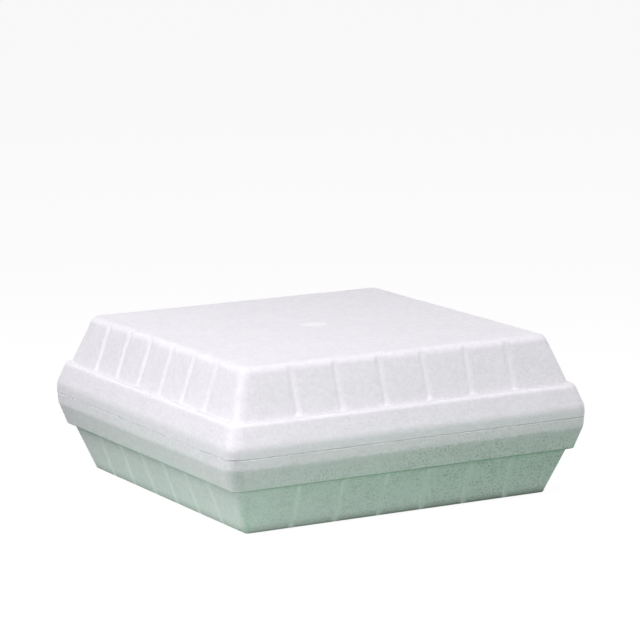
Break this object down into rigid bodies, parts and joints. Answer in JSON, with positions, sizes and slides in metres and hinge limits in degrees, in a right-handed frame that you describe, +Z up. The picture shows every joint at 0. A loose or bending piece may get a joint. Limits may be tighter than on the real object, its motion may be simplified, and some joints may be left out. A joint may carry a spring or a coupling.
{
  "type": "foam cake box",
  "caption": "Square moulded foam cake box with sloped, grooved walls: a base tray and a matching lid that laps over the base's lip and lifts off.",
  "frame": {"origin": "centre of the base's flat underside", "axes": "+Z up, the way the lid lifts; X and Y square to the four equal walls"},
  "size_m": [0.28, 0.28, 0.1123],
  "materials": {
    "white_foam": "matt moulded bead foam with a fine grain"
  },
  "bodies": {
    "base": {"base": "white_foam"},
    "lid": {"lid": "white_foam"}
  },
  "joints": [
    {"name": "lid_lift", "type": "slide", "parent": "base", "child": "lid", "axis": [0, 0, 1], "range_m": [0, 0.15]}
  ]
}
